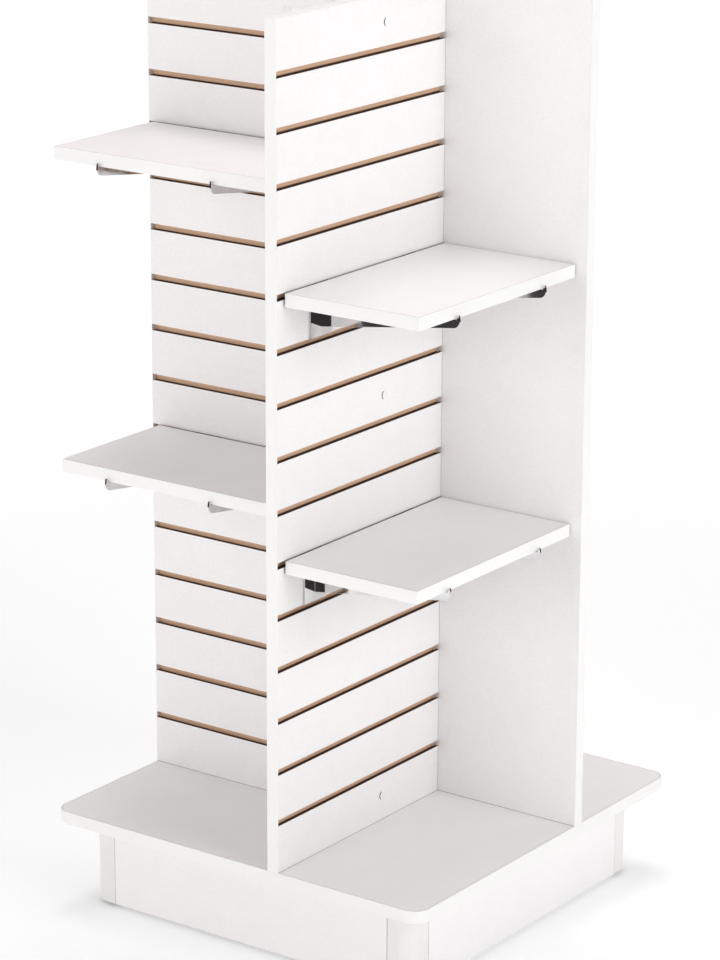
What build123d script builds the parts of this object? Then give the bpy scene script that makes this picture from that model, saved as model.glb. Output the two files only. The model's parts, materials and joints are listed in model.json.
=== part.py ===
from build123d import *
import math
import os

# Pinwheel slatwall merchandiser: four slatwall panels set round a square hollow core, each one
# butted against the plain back of the next, on a square deck over a recessed kick base.
# Four shelves rest on pairs of chrome knife brackets hooked into the grooves.
#
# Frame: millimetres, +Z up, origin on the floor under the centre of the deck. One quarter of the
# tower is modelled as the side that faces -Y ("front"), and the others are quarter turns of it.

# ---- overall sizes ----
total_height = 1371.6
deck_top = 152.4
deck_size = 660.4
deck_corner_r = 25.4
board_t = 19.05

# ---- slatwall panels ----
core_offset = 86.4            # grooved face to tower axis
groove_pitch = 76.2
groove_count = 15
groove_mouth = 9.5            # height of the opening in the face
groove_lip_t = 4.8            # board left in front of the undercut
groove_depth = 9.6
groove_undercut_h = 15.9
panel_band_t = 1.0

# ---- connector screws and their caps ----
screw_d = 7.0
screw_l = 50.0
screw_head_d = 10.0
screw_head_h = 4.0
screw_socket_d = 4.0
screw_socket_h = 3.0
screw_fit = 0.05              # radial gap of screws in their holes
screw_pitches_down = (0.5, 7.5, 15.5)
cap_d = 13.0
cap_t = 1.2
cap_edge_r = 0.8
deck_screw_l = 60.0
deck_screw_stations = (40.0, 130.0, 320.0)   # from the panel's inner end

# ---- deck edge band ----
deck_band_t = 2.0
deck_band_round = 0.9
deck_seam_gap = 0.4
deck_seam_x = 25.0

# ---- kick base ----
kick_half = 290.0
kick_floor_gap = 6.35
kick_corner_r = 25.4
kick_seam_gap = 0.8
post_leg = 42.0               # corner moulding, from the kick's square corner to its seam
post_wall = 3.0
tongue_t = 3.0
tongue_l = 12.0
tongue_fit = 0.15
block_size = 50.8
block_corner_cut = 6.0
block_floor_gap = 10.4
block_screw_d = 4.5
block_screw_l = 62.0
block_screw_head_d = 8.5
block_screw_head_h = 3.0
block_screw_inset = 7.0       # from the block's inner sides, clear of the posts' tongues
block_screw_z = ((72.0, 104.0), (84.0, 116.0))   # into the front-type board, into the side board

# ---- base angles ----
angle_leg = 38.0
angle_t = 2.0
angle_w = 20.0
angle_hole_stations = (14.0, 29.0)
angle_screw_d = 4.0
angle_screw_l = 14.0
angle_screw_head_d = 8.0
angle_screw_head_h = 2.2

# ---- levelling glides ----
stem_d = 8.0
stem_top = 52.0
stem_seat = 3.0
nut_flange_d = 22.0
nut_flange_t = 1.5
nut_barrel_d = 10.5
nut_barrel_h = 11.0
thread_fit = 0.05
stem_hole_d = 9.0
stem_hole_depth = 52.0
pad_d = 30.0
pad_rim_h = 5.0
pad_hub_d = 18.0
pad_round = 1.2

# ---- shelves ----
shelf_w = 381.0
shelf_d = 222.25
shelf_face_gap = 3.0          # shelf's rear edge to the grooved face
shelf_band_t = 1.0
shelf_round = 0.6

# ---- knife brackets ----
# The outline is drawn in the blade's plane: first value out from the grooved face,
# second value up from the groove's centre.
plate_w = 50.8
plate_t = 2.5
blade_t = 3.0
bracket_clear = 0.2           # running gap between bracket and groove or face
blade_rest_gap = 0.1          # blade's top edge under the shelf
blade_root_depth = 44.0
blade_tip_depth = 11.5
blade_reach = 233.0
nose_r = 11.0
lip_t = 4.2
lip_rise = 6.2
hook_t = 2.4
hook_back = 8.0               # face to the back of the hook's upstand
hook_top = 7.4                # groove centre to the top of the upstand

# Each shelf: side of the tower, groove counted from the top, how far its outer and its inner
# bracket stand from the wing panel at its inner end, and the gap between shelf and wing.
shelf_plan = {
    "front_upper": ("front", 3, 302.0, 102.0, 6.5),
    "front_lower": ("front", 9, 296.0, 110.0, 1.5),
    "right_upper": ("right", 5, 298.0, 87.0, 1.5),
    "right_lower": ("right", 10, 312.0, 88.0, 1.5),
}

sides = ("front", "right", "back", "left")
corners = ("front_right", "back_right", "back_left", "front_left")

# ---- worked out ----
half = deck_size / 2
face_y = -core_offset
back_y = face_y + board_t
mid_y = face_y + board_t / 2
wing_x = core_offset - board_t            # plain back of the panel that closes the inner end
deck_bottom = deck_top - board_t
kick_flat = kick_half - post_leg           # seam between kick board and corner moulding
kick_inner = kick_half - board_t
block_low = kick_inner - block_size        # inner sides of a corner block
block_c = kick_inner - block_size / 2


def groove_z(number):
    return total_height - groove_pitch * number


def span(x0, x1, y0, y1, z0, z1):
    """Box from its lower and upper limits."""
    size = Box(x1 - x0, y1 - y0, z1 - z0)
    return Pos((x0 + x1) / 2, (y0 + y1) / 2, (z0 + z1) / 2) * size


def rod(diameter, start, end):
    """Round bar between two points."""
    axis = Vector(*end) - Vector(*start)
    plane = Plane(origin=start, z_dir=axis)
    return extrude(plane * Circle(diameter / 2), axis.length)


def turned(shape, quarter):
    return Rot(0, 0, 90 * quarter) * shape


def all_quarters(make):
    """The same solid on the four sides, as one list."""
    return [turned(make, quarter) for quarter in range(4)]


def write(name, shape):
    shape.label = name
    export_step(shape, f"parts/{name}.step")


def screw(start, direction, diameter, length, head_d, head_h, fit=0.0):
    """Screw with a tapering flush head at start; fit grows every radius, to cut its hole."""
    plane = Plane(origin=start, z_dir=direction)
    shank = extrude(plane * Circle(diameter / 2 + fit), length + fit)
    head = Cone(head_d / 2 + fit, diameter / 2 + fit, head_h, align=(Align.CENTER, Align.CENTER, Align.MIN))
    return shank + plane.location * head


# ---- slatwall panel, in the front position ----
def connector_start(z):
    return (-core_offset + board_t / 2, face_y, z)


def connector_heights():
    return [total_height - groove_pitch * pitches for pitches in screw_pitches_down]


def connector(z, fit=0.0):
    """Screw through this panel's grooved face into the inner end of the neighbour."""
    return screw(connector_start(z), (0, 1, 0), screw_d, screw_l, screw_head_d, screw_head_h, fit)


def deck_screw(station, fit=0.0):
    start = (wing_x - station, mid_y, deck_bottom)
    return screw(start, (0, 0, 1), screw_d, deck_screw_l, screw_head_d, screw_head_h, fit)


def panel():
    board = span(-half + panel_band_t, wing_x, face_y, back_y, deck_top, total_height - panel_band_t)
    for number in range(1, groove_count + 1):
        z = groove_z(number)
        mouth = groove_mouth / 2
        undercut = groove_undercut_h / 2
        lip_y = face_y + groove_lip_t
        board -= span(-half, wing_x, face_y, lip_y, z - mouth, z + mouth)
        board -= span(-half, wing_x, lip_y, face_y + groove_depth, z - undercut, z + undercut)
    for z in connector_heights():
        board -= connector(z, screw_fit)
        board -= turned(connector(z, screw_fit), 1)
    for station in deck_screw_stations:
        board -= deck_screw(station, screw_fit)
    return board


def end_band():
    return span(-half, -half + panel_band_t, face_y, back_y, deck_top, total_height - panel_band_t)


def top_band():
    return span(-half, wing_x, face_y, back_y, total_height - panel_band_t, total_height)


def connector_with_socket(z):
    x, y, _ = connector_start(z)
    return connector(z) - rod(screw_socket_d, (x, y, z), (x, y + screw_socket_h, z))


def screw_cap(z):
    """Domed disc on the face with a peg in the screw's socket."""
    x, y, _ = connector_start(z)
    disc = rod(cap_d, (x, y, z), (x, y - cap_t, z))
    rim = disc.edges().filter_by(GeomType.CIRCLE).sort_by(Axis.Y)[0]
    peg = rod(screw_socket_d - 2 * screw_fit, (x, y, z), (x, y + screw_socket_h, z))
    return fillet(rim, cap_edge_r) + peg


# ---- deck ----
def rounded_slab(half_side, radius, z0, z1):
    outline = RectangleRounded(2 * half_side, 2 * half_side, radius)
    return Pos(0, 0, z0) * extrude(outline, z1 - z0)


def deck_board():
    board = rounded_slab(half - deck_band_t, deck_corner_r - deck_band_t, deck_bottom, deck_top)
    for station in deck_screw_stations:
        for cut in all_quarters(deck_screw(station, screw_fit)):
            board -= cut
    for cut in all_quarters(angle_deck_screws(screw_fit)):
        board -= cut
    return board


def deck_edge_band():
    ring = rounded_slab(half, deck_corner_r, deck_bottom, deck_top)
    outer_rims = ring.faces().sort_by(Axis.Z)[0].edges() + ring.faces().sort_by(Axis.Z)[-1].edges()
    ring = fillet(outer_rims, deck_band_round)
    ring -= rounded_slab(half - deck_band_t, deck_corner_r - deck_band_t, deck_bottom, deck_top)
    seam = span(deck_seam_x, deck_seam_x + deck_seam_gap, -half, -half + deck_band_t, deck_bottom, deck_top)
    return ring - seam


# ---- kick base ----
def kick_board():
    end = kick_flat - kick_seam_gap
    board = span(-end, end, -kick_half, -kick_inner, kick_floor_gap, deck_bottom)
    slot_t = tongue_t / 2 + tongue_fit
    slot_y = -kick_half + board_t / 2
    slot_end = kick_flat - tongue_l - tongue_fit
    for x0, x1 in ((-end, -slot_end), (slot_end, end)):
        board -= span(x0, x1, slot_y - slot_t, slot_y + slot_t, kick_floor_gap, deck_bottom)
    for z in block_screw_z[0]:
        board -= block_screw_front(z, screw_fit)
    for z in block_screw_z[1]:
        board -= turned(block_screw_side(z, screw_fit), -1)
    return board - angle_kick_screws(screw_fit)


def post_section(inset):
    """L-shaped outline of the corner moulding, drawn in by inset on every side."""
    low = kick_flat + inset
    high = kick_half - inset
    bend = kick_inner + inset
    square = Pos((low + high) / 2, -(low + high) / 2) * Rectangle(high - low, high - low)
    corner = square.vertices().sort_by(lambda v: v.X - v.Y)[-1]
    square = fillet(corner, kick_corner_r - inset)
    return square - Pos((low + bend) / 2, -(low + bend) / 2) * Rectangle(bend - low, bend - low)


def corner_post():
    """Hollow rounded corner moulding with a tongue for each kick board."""
    outline = post_section(0.0) - post_section(post_wall)
    tongue_c = kick_half - board_t / 2
    tongue_end = kick_flat - tongue_l / 2
    outline += Pos(tongue_end, -tongue_c) * Rectangle(tongue_l, tongue_t)
    outline += Pos(tongue_c, -tongue_end) * Rectangle(tongue_t, tongue_l)
    return Pos(0, 0, kick_floor_gap) * extrude(outline, deck_bottom - kick_floor_gap)


def corner_block():
    """Timber block in the corner towards +X and -Y, bored for the glide."""
    block = span(block_low, kick_inner, -kick_inner, -block_low, block_floor_gap, deck_bottom)
    outer_edge = block.edges().filter_by(Axis.Z).sort_by(lambda e: e.center().X - e.center().Y)[-1]
    block = chamfer(outer_edge, block_corner_cut)
    block -= rod(stem_hole_d, (block_c, -block_c, block_floor_gap), (block_c, -block_c, stem_hole_depth))
    barrel_top = block_floor_gap + nut_barrel_h
    block -= rod(nut_barrel_d, (block_c, -block_c, block_floor_gap), (block_c, -block_c, barrel_top))
    for z in block_screw_z[0]:
        block -= block_screw_front(z, screw_fit)
    for z in block_screw_z[1]:
        block -= block_screw_side(z, screw_fit)
    return block


def block_screw(start, direction, fit):
    size = (block_screw_d, block_screw_l, block_screw_head_d, block_screw_head_h)
    return screw(start, direction, *size, fit)


def block_screw_front(z, fit=0.0):
    """From the block's inner side into the board below it in Y, on both ends of that board."""
    return block_screw((block_low + block_screw_inset, -block_low, z), (0, -1, 0), fit)


def block_screw_side(z, fit=0.0):
    return block_screw((block_low, -block_low - block_screw_inset, z), (1, 0, 0), fit)


# ---- steel angles between kick boards and deck ----
def angle():
    side = angle_w / 2
    upright = span(-side, side, -kick_inner, -kick_inner + angle_t, deck_bottom - angle_leg, deck_bottom)
    flat = span(-side, side, -kick_inner, -kick_inner + angle_leg, deck_bottom - angle_t, deck_bottom)
    return upright + flat - angle_kick_screws(screw_fit) - angle_deck_screws(screw_fit)


def pan_screws(starts, direction, fit):
    """Pan-head screws; each start is on the angle's open side, under the head."""
    group = None
    for start in starts:
        plane = Plane(origin=start, z_dir=direction)
        shank = extrude(plane * Circle(angle_screw_d / 2 + fit), angle_screw_l + fit)
        head = extrude(plane * Circle(angle_screw_head_d / 2), -angle_screw_head_h)
        group = shank + head if group is None else group + shank + head
    return group


def angle_kick_screws(fit=0.0):
    y = -kick_inner + angle_t
    return pan_screws([(0, y, deck_bottom - s) for s in angle_hole_stations], (0, -1, 0), fit)


def angle_deck_screws(fit=0.0):
    z = deck_bottom - angle_t
    return pan_screws([(0, -kick_inner + s, z) for s in angle_hole_stations], (0, 0, 1), fit)


# ---- levelling glide, in the corner towards +X and -Y ----
def tee_nut():
    flange_z = block_floor_gap - nut_flange_t
    barrel_top = block_floor_gap + nut_barrel_h
    nut = rod(nut_flange_d, (block_c, -block_c, flange_z), (block_c, -block_c, block_floor_gap))
    barrel_d = nut_barrel_d - 2 * screw_fit
    nut += rod(barrel_d, (block_c, -block_c, block_floor_gap), (block_c, -block_c, barrel_top))
    bore_d = stem_d + 2 * thread_fit
    return nut - rod(bore_d, (block_c, -block_c, flange_z), (block_c, -block_c, barrel_top))


def glide_stem():
    return rod(stem_d, (block_c, -block_c, stem_seat), (block_c, -block_c, stem_top))


def glide_pad():
    pad_top = block_floor_gap - nut_flange_t - thread_fit
    rim = rod(pad_d, (block_c, -block_c, 0), (block_c, -block_c, pad_rim_h))
    rim = fillet(rim.edges().filter_by(GeomType.CIRCLE), pad_round)
    hub = rod(pad_hub_d, (block_c, -block_c, pad_rim_h), (block_c, -block_c, pad_top))
    socket = rod(stem_d, (block_c, -block_c, stem_seat), (block_c, -block_c, pad_top))
    return rim + hub - socket


# ---- shelf, in the front position ----
def shelf_limits(groove, gap):
    x1 = wing_x - gap
    y1 = face_y - shelf_face_gap
    z1 = groove_z(groove) + groove_mouth / 2
    return x1 - shelf_w, x1, y1 - shelf_d, y1, z1 - board_t, z1


def shelf_board(groove, gap):
    x0, x1, y0, y1, z0, z1 = shelf_limits(groove, gap)
    return span(x0 + shelf_band_t, x1 - shelf_band_t, y0 + shelf_band_t, y1, z0, z1)


def shelf_band(groove, gap):
    """One strip round the front and both ends, its long outer edges eased."""
    x0, x1, y0, y1, z0, z1 = shelf_limits(groove, gap)
    strip = span(x0, x1, y0, y1, z0, z1)
    rims = strip.edges().filter_by(Axis.Y) + strip.edges().filter_by(Axis.X).group_by(Axis.Y)[0]
    return fillet(rims, shelf_round) - shelf_board(groove, gap)


# ---- knife bracket, in the front position, its blade's middle at x ----
def blade_outline():
    top = groove_mouth / 2 - board_t - blade_rest_gap
    root = plate_t + bracket_clear
    slope = (blade_root_depth - blade_tip_depth) / (blade_reach - root)
    turn = math.atan(slope)
    # The nose is a round of radius nose_r, tangent to the sloping lower edge.
    nose_x = blade_reach - nose_r
    nose_z = top - blade_root_depth + slope * (nose_x - root) + nose_r / math.cos(turn)
    low = (nose_x + nose_r * math.sin(turn), nose_z - nose_r * math.cos(turn))
    lip_top = top + lip_rise
    outer_knee = (blade_reach, nose_z)
    tip_outer = (blade_reach - lip_t / 4, lip_top - lip_t / 2)
    tip = (blade_reach - lip_t / 4 - lip_t / 2, lip_top)
    tip_inner = (blade_reach - lip_t / 4 - lip_t, lip_top - lip_t / 2)
    start_angle = math.degrees(turn) - 90
    nose = CenterArc((nose_x, nose_z), nose_r, start_angle, -start_angle)
    edges = [
        Line((root, top), (root, top - blade_root_depth)),
        Line((root, top - blade_root_depth), low),
        nose,
        Line(outer_knee, tip_outer),
        ThreePointArc(tip_outer, tip, tip_inner),
        Line(tip_inner, (tip_inner[0], top)),
        Line((tip_inner[0], top), (root, top)),
    ]
    return make_face(Curve() + edges)


def hook_outline():
    """Back plate on the face, tongue through the mouth and upstand behind the upper lip."""
    out = plate_t + bracket_clear
    tongue_z = -groove_mouth / 2 + bracket_clear
    plate_low = -groove_pitch + groove_mouth / 2
    return make_face(Polyline(
        (bracket_clear, plate_low),
        (out, plate_low),
        (out, tongue_z + hook_t),
        (-hook_back + hook_t, tongue_z + hook_t),
        (-hook_back + hook_t, hook_top),
        (-hook_back, hook_top),
        (-hook_back, tongue_z),
        (bracket_clear, tongue_z),
        close=True,
    ))


def bracket(groove, x):
    blade = extrude(blade_outline(), blade_t / 2, both=True)
    hook = extrude(hook_outline(), plate_w / 2, both=True)
    # Outline +X (out from the face) turns to -Y, outline +Y (up) turns to +Z.
    plane = Plane(origin=(x, face_y, groove_z(groove)), x_dir=(0, -1, 0), z_dir=(-1, 0, 0))
    return plane.location * (blade + hook)


# ---- write every piece ----
os.makedirs("parts", exist_ok=True)

quarter_pieces = {
    "slat_panel": panel(),
    "panel_end_band": end_band(),
    "panel_top_band": top_band(),
    "kick_board": kick_board(),
}
corner_pieces = {
    "corner_post": corner_post(),
    "corner_block": corner_block(),
    "glide_stem": glide_stem(),
    "glide_pad": glide_pad(),
}
for name, piece in quarter_pieces.items():
    for quarter, side in enumerate(sides):
        write(f"{name}_{side}", turned(piece, quarter))
for name, piece in corner_pieces.items():
    for quarter, corner in enumerate(corners):
        write(f"{name}_{corner}", turned(piece, quarter))

block_screws = [block_screw_front(z) for z in block_screw_z[0]]
block_screws += [block_screw_side(z) for z in block_screw_z[1]]
groups = {
    "connector_screws": [connector_with_socket(z) for z in connector_heights()],
    "screw_caps": [screw_cap(z) for z in connector_heights()],
    "deck_screws": [deck_screw(station) for station in deck_screw_stations],
    "block_screws": block_screws,
    "base_angles": [angle()],
    "angle_screws": angle_kick_screws().solids() + angle_deck_screws().solids(),
    "tee_nuts": [tee_nut()],
}
for name, pieces in groups.items():
    write(name, Compound([turned(piece, quarter) for piece in pieces for quarter in range(4)]))

write("deck_board", deck_board())
write("deck_edge_band", deck_edge_band())

for name, (side, groove, outer, inner, gap) in shelf_plan.items():
    quarter = sides.index(side)
    write(f"shelf_{name}", turned(shelf_board(groove, gap), quarter))
    write(f"shelf_band_{name}", turned(shelf_band(groove, gap), quarter))
    write(f"bracket_{name}_outer", turned(bracket(groove, wing_x - outer), quarter))
    write(f"bracket_{name}_inner", turned(bracket(groove, wing_x - inner), quarter))
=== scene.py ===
import json
import math

import bmesh
import bpy
from mathutils import Matrix, Vector


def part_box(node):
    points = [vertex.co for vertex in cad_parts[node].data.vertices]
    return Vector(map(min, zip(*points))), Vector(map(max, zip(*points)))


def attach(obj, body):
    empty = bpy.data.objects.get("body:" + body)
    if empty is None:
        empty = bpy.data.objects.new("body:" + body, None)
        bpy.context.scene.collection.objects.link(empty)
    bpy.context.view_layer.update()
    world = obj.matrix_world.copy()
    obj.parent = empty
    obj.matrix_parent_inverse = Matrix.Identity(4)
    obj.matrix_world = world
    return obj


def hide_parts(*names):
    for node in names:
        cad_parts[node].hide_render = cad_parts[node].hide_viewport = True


# Pinwheel slatwall merchandiser: finishes, softened edges, camera and light around the CAD frame.
# Everything is in metres in the frame's own axes. The tower has four like quarters: the one that
# faces -Y is quarter 0, and quarter k is turned k right angles about Z.

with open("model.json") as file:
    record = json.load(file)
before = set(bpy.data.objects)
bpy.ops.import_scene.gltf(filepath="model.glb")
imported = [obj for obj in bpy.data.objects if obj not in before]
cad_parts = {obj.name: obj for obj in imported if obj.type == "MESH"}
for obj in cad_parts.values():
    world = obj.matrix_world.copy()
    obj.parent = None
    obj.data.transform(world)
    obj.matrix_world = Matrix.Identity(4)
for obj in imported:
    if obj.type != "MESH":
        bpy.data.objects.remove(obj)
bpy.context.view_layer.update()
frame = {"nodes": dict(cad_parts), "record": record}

nodes = frame["nodes"]
bodies = frame["record"]["behaviour"]["bodies"]
body_of_node = {node: body for body, members in bodies.items() for node in members}
slot_of_node = {part["node"]: part["material_slot"] for part in frame["record"]["subparts"]}
sides = ("front", "right", "back", "left")
quarter_turn = math.pi / 2

# ---- places read from the frame ----
deck_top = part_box("deck_board")[1].z
tower_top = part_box("panel_top_band_front")[1].z
face_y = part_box("slat_panel_front")[0].y
inner_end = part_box("slat_panel_front")[1].x
groove_pitch = 0.0762

# ---- groove section, as cut in the panels ----
mouth_half = 0.00475
undercut_half = 0.00795
groove_depth = 0.0096
lip_depth = 0.0048

# ---- shade painted in the grooves, in metres below a groove's centre line ----
lip_shadow_start, lip_shadow_end = 0.0038, 0.0054
lip_shadow_drop_at_deck, lip_shadow_drop_at_top = 0.0024, -0.0010    # the shade starts lower in the lower grooves
roof_start, roof_end = -0.0044, -0.0026

# ---- small sizes ----
skin = 0.00012                # a point this near a face counts as on it
joint_shadow_width = 0.0009           # width of the painted shadow line where a panel meets the deck or its neighbour
glue_line = 0.0008            # painted line where laminate meets edge band
deck_board_corner = 0.0234    # corner radius of the deck board
bracket_edge = 0.0004         # rounding of the softened pieces' edges
band_edge = 0.0003
base_edge = 0.0006


# ======================= node helpers =======================
class Shader:
    """A material under construction, with short calls for the nodes this file needs."""

    def __init__(self, name, roughness=0.5, metallic=0.0, ior=1.5, coat=0.0, coat_roughness=0.1):
        self.material = bpy.data.materials.new(name)
        self.material.use_nodes = True
        self.tree = self.material.node_tree
        self.shader = self.tree.nodes["Principled BSDF"]
        self.shader.inputs["Roughness"].default_value = roughness
        self.shader.inputs["Metallic"].default_value = metallic
        self.shader.inputs["IOR"].default_value = ior
        self.shader.inputs["Coat Weight"].default_value = coat
        self.shader.inputs["Coat Roughness"].default_value = coat_roughness

    def link(self, source, target):
        self.tree.links.new(source, target)

    def put(self, target, value):
        if isinstance(value, bpy.types.NodeSocket):
            self.link(value, target)
        else:
            target.default_value = value

    def math(self, operation, a, b=0.0, c=0.0, clamp=False):
        node = self.tree.nodes.new("ShaderNodeMath")
        node.operation = operation
        node.use_clamp = clamp
        for socket, value in zip(node.inputs, (a, b, c)):
            self.put(socket, value)
        return node.outputs[0]

    def place(self, quarter=0):
        """Surface point in the piece's own axes, which at rest are the frame's, turned to quarter 0."""
        where = self.tree.nodes.new("ShaderNodeTexCoord").outputs["Object"]
        return self.turn(where, quarter)

    def facing(self, quarter=0):
        """Surface normal in the piece's own axes, turned to quarter 0."""
        return self.turn(self.tree.nodes.new("ShaderNodeTexCoord").outputs["Normal"], quarter)

    def turn(self, vector, quarter):
        if quarter == 0:
            return vector
        node = self.tree.nodes.new("ShaderNodeVectorRotate")
        node.rotation_type = "Z_AXIS"
        node.inputs["Angle"].default_value = -quarter * quarter_turn
        self.link(vector, node.inputs["Vector"])
        return node.outputs[0]

    def split(self, vector):
        node = self.tree.nodes.new("ShaderNodeSeparateXYZ")
        self.link(vector, node.inputs[0])
        return node.outputs

    def stretch(self, vector, scale):
        node = self.tree.nodes.new("ShaderNodeMapping")
        node.inputs["Scale"].default_value = scale
        self.link(vector, node.inputs["Vector"])
        return node.outputs[0]

    def noise(self, vector, scale, detail=3.0, rough=0.55, distortion=0.0):
        node = self.tree.nodes.new("ShaderNodeTexNoise")
        self.link(vector, node.inputs["Vector"])
        node.inputs["Scale"].default_value = scale
        node.inputs["Detail"].default_value = detail
        node.inputs["Roughness"].default_value = rough
        node.inputs["Distortion"].default_value = distortion
        return node.outputs["Fac"]

    def spread(self, value, low, high, out_low=0.0, out_high=1.0, smooth=False):
        node = self.tree.nodes.new("ShaderNodeMapRange")
        node.interpolation_type = "SMOOTHSTEP" if smooth else "LINEAR"
        for socket, number in zip(node.inputs[:5], (value, low, high, out_low, out_high)):
            self.put(socket, number)
        return node.outputs[0]

    def mix(self, factor, a, b):
        node = self.tree.nodes.new("ShaderNodeMix")
        node.data_type = "RGBA"
        self.put(node.inputs["Factor"], factor)
        self.put(node.inputs[6], a)
        self.put(node.inputs[7], b)
        return node.outputs[2]

    def bump(self, height, distance, strength=1.0, normal=None):
        node = self.tree.nodes.new("ShaderNodeBump")
        node.inputs["Distance"].default_value = distance
        node.inputs["Strength"].default_value = strength
        self.link(height, node.inputs["Height"])
        if normal is not None:
            self.link(normal, node.inputs["Normal"])
        return node.outputs[0]

    def finish(self, color, roughness=None, normal=None):
        self.put(self.shader.inputs["Base Color"], color)
        if roughness is not None:
            self.put(self.shader.inputs["Roughness"], roughness)
        if normal is not None:
            self.link(normal, self.shader.inputs["Normal"])
        return self.material


def rgb(red, green, blue):
    """Linear colour from screen values of 0 to 255."""
    screen = [v / 255 for v in (red, green, blue)]
    linear = [v / 12.92 if v <= 0.04 else ((v + 0.055) / 1.055) ** 2.4 for v in screen]
    return (*linear, 1.0)


# ======================= materials =======================
melamine_white = rgb(245, 243, 243)
melamine_shade = rgb(243, 241, 241)
melamine_speck = rgb(226, 220, 221)
fibre_dark = rgb(238, 188, 152)
fibre_light = rgb(250, 214, 182)
# painted shade inside the grooves: under the upper lip, in the lower part and on the lower lip's top
roof_shade = rgb(52, 32, 22)
lip_shadow_shade = rgb(62, 36, 20)
ledge_shade = rgb(84, 54, 38)
# painted shadow in the joints at a panel's foot and inner end
joint_shade = rgb(104, 96, 96)
glue_shade = rgb(120, 104, 98)
# dark back edge of the shelves: painted shade that keeps the gap behind each shelf dark
gap_shade_dark, gap_shade_light = rgb(38, 32, 30), rgb(62, 52, 48)


def melamine_surface(shader, where):
    """Colour, roughness and height of white melamine: clouding, fine specks, a pearl emboss and rubs."""
    cloud = shader.noise(where, scale=22.0, detail=3.0)
    color = shader.mix(shader.spread(cloud, 0.35, 0.7), melamine_white, melamine_shade)
    specks = shader.noise(where, scale=420.0, detail=3.0, rough=0.7)
    color = shader.mix(shader.spread(specks, 0.5, 0.72, 0.0, 0.42), color, melamine_speck)
    emboss = shader.noise(where, scale=900.0, detail=2.0)
    rubs = shader.noise(shader.stretch(where, (30.0, 30.0, 4.0)), scale=3.0, detail=4.0, rough=0.7)
    roughness = shader.spread(rubs, 0.3, 0.75, 0.36, 0.44)
    return color, roughness, emboss


def board_surface(shader, where):
    """Colour and height of cut fibreboard: fine fibre specks with long cutter streaks along X."""
    fibres = shader.noise(where, scale=1400.0, detail=3.0, rough=0.7)
    streaks = shader.noise(shader.stretch(where, (6.0, 700.0, 700.0)), scale=1.0, detail=3.0, rough=0.6)
    blend = shader.math("ADD", shader.math("MULTIPLY", fibres, 0.55),
                        shader.math("MULTIPLY", streaks, 0.45))
    color = shader.mix(shader.spread(blend, 0.35, 0.65), fibre_dark, fibre_light)
    return color, blend


def slatwall_material(quarter):
    """White melamine faces with bare fibreboard in the grooves, with painted shade in the lower part of
    each groove, on the lower lip's top and under the upper lip.

    A thin line of painted shadow marks the joints at the foot and at the inner end.
    """
    shader = Shader(f"slatwall_{sides[quarter]}", roughness=0.4)
    where = shader.place(quarter)
    x, y, z = shader.split(where)
    depth = shader.math("SUBTRACT", y, face_y)
    in_depth = shader.math("MULTIPLY", shader.math("GREATER_THAN", depth, skin),
                           shader.math("LESS_THAN", depth, groove_depth + skin))
    steps = shader.math("DIVIDE", shader.math("SUBTRACT", tower_top, z), groove_pitch)
    part = shader.math("SUBTRACT", shader.math("FRACT", shader.math("ADD", steps, 0.5)), 0.5)
    below = shader.math("MULTIPLY", part, groove_pitch)
    in_height = shader.math("LESS_THAN", shader.math("ABSOLUTE", below), undercut_half + skin)
    in_groove = shader.math("MULTIPLY", in_depth, in_height)
    white, white_rough, emboss = melamine_surface(shader, where)
    bare, fibre = board_surface(shader, where)
    # painted shade on the lower lip's top face
    ledge = shader.math("MULTIPLY", shader.math("LESS_THAN", depth, lip_depth + skin),
                        shader.math("GREATER_THAN", below, mouth_half - skin))
    # painted shade in the lower part of each groove, the lower lip's shadow, starting lower in the lower
    # grooves
    drop = shader.spread(z, deck_top, tower_top, lip_shadow_drop_at_deck, lip_shadow_drop_at_top)
    under = shader.math("SUBTRACT", below, drop)
    lip_shadow = shader.spread(under, lip_shadow_start, lip_shadow_end, 0.0, 0.95, smooth=True)
    # painted shade at the top of each groove, under the upper lip
    roof = shader.spread(below, roof_start, roof_end, 0.9, 0.0)
    bare = shader.mix(roof, bare, roof_shade)
    bare = shader.mix(lip_shadow, bare, lip_shadow_shade)
    bare = shader.mix(ledge, bare, ledge_shade)
    # painted shadow where the panel meets the deck and its neighbour
    joint_shadow = shader.math("MAXIMUM", shader.math("LESS_THAN", z, deck_top + joint_shadow_width),
                        shader.math("GREATER_THAN", x, inner_end - joint_shadow_width))
    white = shader.mix(shader.math("MULTIPLY", joint_shadow, 0.6), white, joint_shade)
    color = shader.mix(in_groove, white, bare)
    roughness = shader.math("ADD", shader.math("MULTIPLY", in_groove, 0.5), white_rough, clamp=True)
    fine = shader.bump(emboss, 0.00002)
    fibre_height = shader.math("MULTIPLY", fibre, in_groove)
    return shader.finish(color, roughness, shader.bump(fibre_height, 0.00025, 1.0, fine))


def seam_line(shader, where, node, quarter, corner_radius):
    """1 on the thin glue line where a board's laminate meets its edge band, and 0 elsewhere."""
    low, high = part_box(node)
    turn = Matrix.Rotation(-quarter * quarter_turn, 3, "Z")
    low, high = turn @ low, turn @ high
    x, y, _ = shader.split(where)
    over = []
    for axis, value in ((0, x), (1, y)):
        middle, half = (low[axis] + high[axis]) / 2, abs(high[axis] - low[axis]) / 2
        off = shader.math("ABSOLUTE", shader.math("SUBTRACT", value, middle))
        past = shader.math("SUBTRACT", off, half - glue_line - corner_radius)
        over.append(shader.math("MAXIMUM", past, 0.0))
    squares = [shader.math("MULTIPLY", v, v) for v in over]
    reach = shader.math("SQRT", shader.math("ADD", *squares))
    return shader.math("GREATER_THAN", reach, corner_radius)


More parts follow.
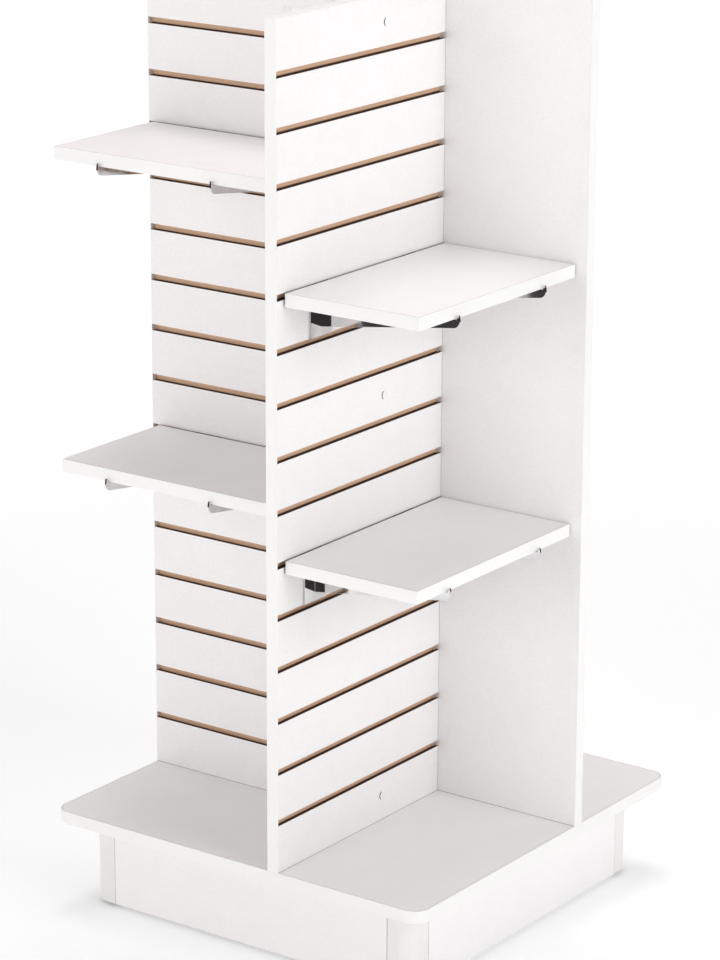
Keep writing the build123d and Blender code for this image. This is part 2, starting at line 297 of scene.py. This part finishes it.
def board_material(name, node, quarter=0, corner_radius=0.0, shaded_back=False):
    """White melamine board with a glue line round it; a shelf's bare fibreboard back edge is painted dark,
    as painted shade for the gap behind the shelf.
    """
    shader = Shader(name, roughness=0.4)
    where = shader.place(quarter)
    color, roughness, emboss = melamine_surface(shader, where)
    seam = seam_line(shader, where, node, quarter, corner_radius)
    color = shader.mix(shader.math("MULTIPLY", seam, 0.5), color, glue_shade)
    normal = shader.bump(emboss, 0.00002)
    if shaded_back:
        # painted shade: the back edge's bare fibreboard is darkened so the gap behind the shelf stays dark
        fibre = board_surface(shader, where)[1]
        edge = shader.math("GREATER_THAN", shader.split(shader.facing(quarter))[1], 0.7)
        color = shader.mix(edge, color, shader.mix(fibre, gap_shade_dark, gap_shade_light))
        roughness = shader.math("ADD", shader.math("MULTIPLY", edge, 0.45), roughness, clamp=True)
        normal = shader.bump(shader.math("MULTIPLY", fibre, edge), 0.0002, 1.0, normal)
    return shader.finish(color, roughness, normal)


def plain_board_material(name, quarter):
    """White melamine board with no seams of its own."""
    shader = Shader(name, roughness=0.4)
    color, roughness, emboss = melamine_surface(shader, shader.place(quarter))
    return shader.finish(color, roughness, shader.bump(emboss, 0.00002))


def band_material():
    """White edge band: a touch glossier than the board, with fine lines along its length."""
    shader = Shader("edge_band", roughness=0.34)
    where = shader.place()
    grain = shader.noise(shader.stretch(where, (400.0, 400.0, 60.0)), scale=1.0, detail=3.0)
    cloud = shader.noise(where, scale=6.0, detail=1.0)
    tint = shader.mix(cloud, rgb(246, 246, 245), rgb(240, 240, 239))
    return shader.finish(tint, shader.spread(grain, 0.3, 0.7, 0.28, 0.40), shader.bump(grain, 0.00003))


def moulding_material():
    """White extruded plastic of the corner posts, with faint draw lines up and down."""
    shader = Shader("corner_moulding", roughness=0.32, coat=0.15)
    where = shader.place()
    lines = shader.noise(shader.stretch(where, (500.0, 500.0, 1.5)), scale=1.0, detail=2.0)
    cloud = shader.noise(where, scale=14.0, detail=2.0)
    tint = shader.mix(cloud, rgb(238, 237, 236), rgb(230, 229, 228))
    return shader.finish(tint, shader.spread(lines, 0.3, 0.7, 0.26, 0.38), shader.bump(lines, 0.00006))


def cap_material():
    """Glossy white cap with painted shade as a thin dark line at the rim on its left, where it stands off
    the board.
    """
    shader = Shader("screw_cap", roughness=0.25, coat=0.3)
    where = shader.place()
    speck = shader.noise(where, scale=700.0, detail=2.0)
    cloud = shader.noise(where, scale=80.0, detail=1.0)
    tint = shader.mix(cloud, rgb(247, 246, 246), rgb(243, 242, 242))
    # painted shade: a dark line on the rim's left-facing side, in every quarter
    line = 0.0
    for quarter in range(len(sides)):
        outside = shader.math("LESS_THAN", shader.split(shader.place(quarter))[1], face_y + skin)
        leftward = shader.math("LESS_THAN", shader.split(shader.facing(quarter))[0], -0.30)
        line = shader.math("ADD", line, shader.math("MULTIPLY", outside, leftward))
    tint = shader.mix(line, tint, rgb(84, 76, 78))
    return shader.finish(tint, shader.spread(speck, 0.3, 0.7, 0.2, 0.32), shader.bump(speck, 0.000004))


def chrome_material():
    """Bright chrome plate with faint polishing lines and a slightly uneven shine."""
    shader = Shader("chrome_plate", metallic=1.0)
    where = shader.place()
    lines = shader.noise(shader.stretch(where, (40.0, 40.0, 900.0)), scale=1.0, detail=3.0)
    haze = shader.noise(where, scale=35.0, detail=3.0)
    tint = shader.mix(shader.spread(haze, 0.3, 0.7), rgb(226, 225, 224), rgb(208, 207, 208))
    return shader.finish(tint, shader.spread(haze, 0.35, 0.7, 0.05, 0.13), shader.bump(lines, 0.000012))


def zinc_material():
    """Zinc-plated steel with a mottled, slightly yellow passivation."""
    shader = Shader("zinc_plate", metallic=1.0)
    where = shader.place()
    spangle = shader.noise(where, scale=260.0, detail=3.0, rough=0.6, distortion=0.6)
    tint = shader.mix(shader.spread(spangle, 0.35, 0.65), rgb(186, 184, 178), rgb(214, 210, 196))
    return shader.finish(tint, shader.spread(spangle, 0.3, 0.7, 0.28, 0.45), shader.bump(spangle, 0.00004))


def timber_material():
    """Planed softwood: bands of early and late wood running up the block, with a darker sway."""
    shader = Shader("softwood", roughness=0.6)
    where = shader.place()
    sway = shader.noise(shader.stretch(where, (60.0, 60.0, 5.0)), scale=1.0, detail=3.0)
    rings = shader.tree.nodes.new("ShaderNodeTexWave")
    rings.wave_type = "RINGS"
    rings.rings_direction = "Z"
    rings.inputs["Scale"].default_value = 60.0
    rings.inputs["Distortion"].default_value = 2.5
    rings.inputs["Detail"].default_value = 2.0
    shader.link(shader.stretch(where, (1.0, 1.0, 0.08)), rings.inputs["Vector"])
    ring = rings.outputs["Fac"]
    tint = shader.mix(ring, rgb(214, 178, 128), rgb(176, 130, 82))
    tint = shader.mix(shader.spread(sway, 0.4, 0.8, 0.0, 0.5), tint, rgb(150, 106, 66))
    return shader.finish(tint, shader.spread(sway, 0.3, 0.7, 0.5, 0.7), shader.bump(ring, 0.0001))


def nylon_material():
    """Black moulded nylon with a fine matt grain."""
    shader = Shader("nylon", roughness=0.55)
    where = shader.place()
    grain = shader.noise(where, scale=900.0, detail=2.0)
    cloud = shader.noise(where, scale=60.0, detail=2.0)
    tint = shader.mix(cloud, rgb(34, 34, 36), rgb(48, 48, 50))
    return shader.finish(tint, shader.spread(grain, 0.3, 0.7, 0.45, 0.65), shader.bump(grain, 0.00005))


materials = {
    "white_band": band_material(),
    "white_moulding": moulding_material(),
    "cap_plastic": cap_material(),
    "chrome": chrome_material(),
    "zinc": zinc_material(),
    "timber": timber_material(),
    "nylon": nylon_material(),
    "deck_board": board_material("deck_laminate", "deck_board", 0, deck_board_corner),
}
for quarter, side in enumerate(sides):
    materials[f"slat_panel_{side}"] = slatwall_material(quarter)
    materials[f"kick_board_{side}"] = plain_board_material(f"kick_laminate_{side}", quarter)
for node in nodes:
    if node.startswith("shelf_") and slot_of_node[node] == "white_laminate":
        quarter = sides.index(node.split("_")[1])
        materials[node] = board_material(node + "_laminate", node, quarter, shaded_back=True)


def dress(piece, node):
    """Give a piece the node's own material, or the one of its slot."""
    piece.data.materials.clear()
    piece.data.materials.append(materials.get(node) or materials[slot_of_node[node]])


# ======================= softened edges =======================
def soften(node, width):
    """Show a copy of a CAD node, with its sharp edges rounded by width, in the node's place."""
    piece = bpy.data.objects.new(node + "_soft", nodes[node].data.copy())
    bpy.context.scene.collection.objects.link(piece)
    mesh = bmesh.new()
    mesh.from_mesh(piece.data)
    bmesh.ops.remove_doubles(mesh, verts=mesh.verts, dist=1e-6)
    bmesh.ops.dissolve_limit(mesh, angle_limit=math.radians(0.5), verts=mesh.verts, edges=mesh.edges)
    mesh.to_mesh(piece.data)
    mesh.free()
    for stored in ("custom_normal", "sharp_edge", "sharp_face"):
        if stored in piece.data.attributes:
            piece.data.attributes.remove(piece.data.attributes[stored])
    piece.data.shade_smooth()
    piece.data.set_sharp_from_angle(angle=math.radians(30))
    round_edges = piece.modifiers.new("edges", "BEVEL")
    round_edges.width = width
    round_edges.segments = 2
    round_edges.limit_method = "ANGLE"
    round_edges.angle_limit = math.radians(40)
    round_edges.harden_normals = True
    dress(piece, node)
    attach(piece, body_of_node[node])
    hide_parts(node)


for node, item in nodes.items():
    dress(item, node)

for node in nodes:
    if node.startswith("bracket_"):
        soften(node, bracket_edge)
    elif node.startswith(("panel_end_band", "panel_top_band", "shelf_band")):
        soften(node, band_edge)
    elif node.startswith(("kick_board", "corner_post")):
        soften(node, base_edge)


# ======================= floor, camera and light =======================
def stage_floor():
    """Pale seamless floor, a little brighter away from the tower, like paper lit from behind."""
    half = 30.0
    glow_start, glow_end = 0.9, 4.6        # distance from the tower's foot
    glow_near, glow_far = 0.17, 0.55
    corners = [(-half, -half, 0), (half, -half, 0), (half, half, 0), (-half, half, 0)]
    data = bpy.data.meshes.new("floor")
    data.from_pydata(corners, [], [(0, 1, 2, 3)])
    floor = bpy.data.objects.new("floor", data)
    bpy.context.scene.collection.objects.link(floor)
    paint = Shader("floor_paint", roughness=0.7)
    soft = paint.noise(paint.place(), scale=0.6, detail=2.0)
    paint.finish(paint.mix(soft, rgb(249, 251, 251), rgb(246, 249, 249)))
    paint.shader.inputs["Emission Color"].default_value = (1, 1, 1, 1)
    away = paint.tree.nodes.new("ShaderNodeVectorMath")
    away.operation = "LENGTH"
    paint.link(paint.place(), away.inputs[0])
    glow = paint.spread(away.outputs["Value"], glow_start, glow_end, glow_near, glow_far, smooth=True)
    paint.link(glow, paint.shader.inputs["Emission Strength"])
    data.materials.append(paint.material)


def camera():
    """Camera at the right-hand front, above the tower and looking down."""
    azimuth = math.radians(35.78)
    pitch = math.radians(16.74)
    roll = math.radians(0.23)
    place = Vector((2.9624, -4.1260, 2.1675))
    level = Vector((-math.sin(azimuth), math.cos(azimuth), 0))
    across = Vector((math.cos(azimuth), math.sin(azimuth), 0))
    upright = Vector((0, 0, 1))
    forward = level * math.cos(pitch) - upright * math.sin(pitch)
    up = upright * math.cos(pitch) + level * math.sin(pitch)
    right = across * math.cos(roll) + up * math.sin(roll)
    top = up * math.cos(roll) - across * math.sin(roll)
    data = bpy.data.cameras.new("camera")
    data.lens = 136.0
    data.sensor_width = 36.0
    data.clip_end = 200.0
    item = bpy.data.objects.new("camera", data)
    item.matrix_world = Matrix.Translation(place) @ Matrix((right, top, -forward)).transposed().to_4x4()
    bpy.context.scene.collection.objects.link(item)
    bpy.context.scene.camera = item


def area_light(name, place, size, power, color=(1, 1, 1)):
    """Rectangular light that faces the middle of the tower."""
    middle = Vector((0, 0, 0.75))
    data = bpy.data.lights.new(name, "AREA")
    data.shape = "RECTANGLE"
    data.size, data.size_y = size
    data.energy = power
    data.color = color
    item = bpy.data.objects.new(name, data)
    item.location = place
    item.rotation_euler = (middle - Vector(place)).to_track_quat("-Z", "Y").to_euler()
    bpy.context.scene.collection.objects.link(item)


def dark_surround():
    """Dark room in front of the paper, from the left round to the right, seen only in reflections.

    It stands nearer the tower at floor level on the camera's side, where a dark mat would lie.
    """
    radius, count = 2.7, 64
    start, sweep = math.radians(172), math.radians(266)
    mat_angle, mat_spread, mat_reach = math.radians(306), math.radians(26), 1.5
    mat_share_at_height = ((1.0, 0.004), (0.35, 0.5), (0.0, 3.6))
    angles = [start + sweep * i / (count - 1) for i in range(count)]
    rings = []
    for share, z in mat_share_at_height:
        for angle in angles:
            nearer = mat_reach * share * math.exp(-((angle - mat_angle) / mat_spread) ** 2)
            reach = radius - nearer
            rings.append((reach * math.cos(angle), reach * math.sin(angle), z))
    faces = [(row + i, row + i + 1, row + i + 1 + count, row + i + count)
             for row in (0, count) for i in range(count - 1)]
    data = bpy.data.meshes.new("surround")
    data.from_pydata(rings, [], faces)
    wall = bpy.data.objects.new("surround", data)
    bpy.context.scene.collection.objects.link(wall)
    paint = Shader("surround_paint", roughness=0.9)
    paint.finish(paint.mix(paint.noise(paint.place(), scale=1.5), rgb(44, 42, 42), rgb(62, 60, 60)))
    data.materials.append(paint.material)
    wall.visible_camera = False
    wall.visible_diffuse = False
    wall.visible_transmission = False
    wall.visible_shadow = False


def studio():
    """A world that is brighter round the horizon, a key from the right, a fill and two small lights."""
    rosy = (1.0, 0.96, 0.96)
    cool = (0.975, 1.0, 1.0)
    world = bpy.data.worlds.new("surround")
    world.use_nodes = True
    tree = world.node_tree
    where = tree.nodes.new("ShaderNodeTexCoord").outputs["Generated"]
    axes = tree.nodes.new("ShaderNodeSeparateXYZ")
    tree.links.new(where, axes.inputs[0])
    level = tree.nodes.new("ShaderNodeMapRange")
    tree.links.new(axes.outputs["Z"], level.inputs["Value"])
    horizon, zenith = 0.64, 0.42
    ramp = {"From Min": 0.05, "From Max": 0.9, "To Min": horizon, "To Max": zenith}
    for name, value in ramp.items():
        level.inputs[name].default_value = value
    tree.links.new(level.outputs[0], tree.nodes["Background"].inputs["Strength"])
    tree.nodes["Background"].inputs["Color"].default_value = (*rosy, 1.0)
    bpy.context.scene.world = world
    area_light("key", (4.6, -0.6, 2.6), (2.4, 2.4), 80, cool)
    area_light("fill", (-0.6, -4.8, 1.7), (2.6, 2.2), 44)
    area_light("left", (-3.2, -2.6, 3.4), (2.0, 2.0), 14)
    area_light("overhead", (-0.35, 0.55, 4.1), (2.0, 1.6), 50, rosy)
    bpy.context.scene.view_settings.view_transform = "Standard"


dark_surround()
stage_floor()
camera()
studio()
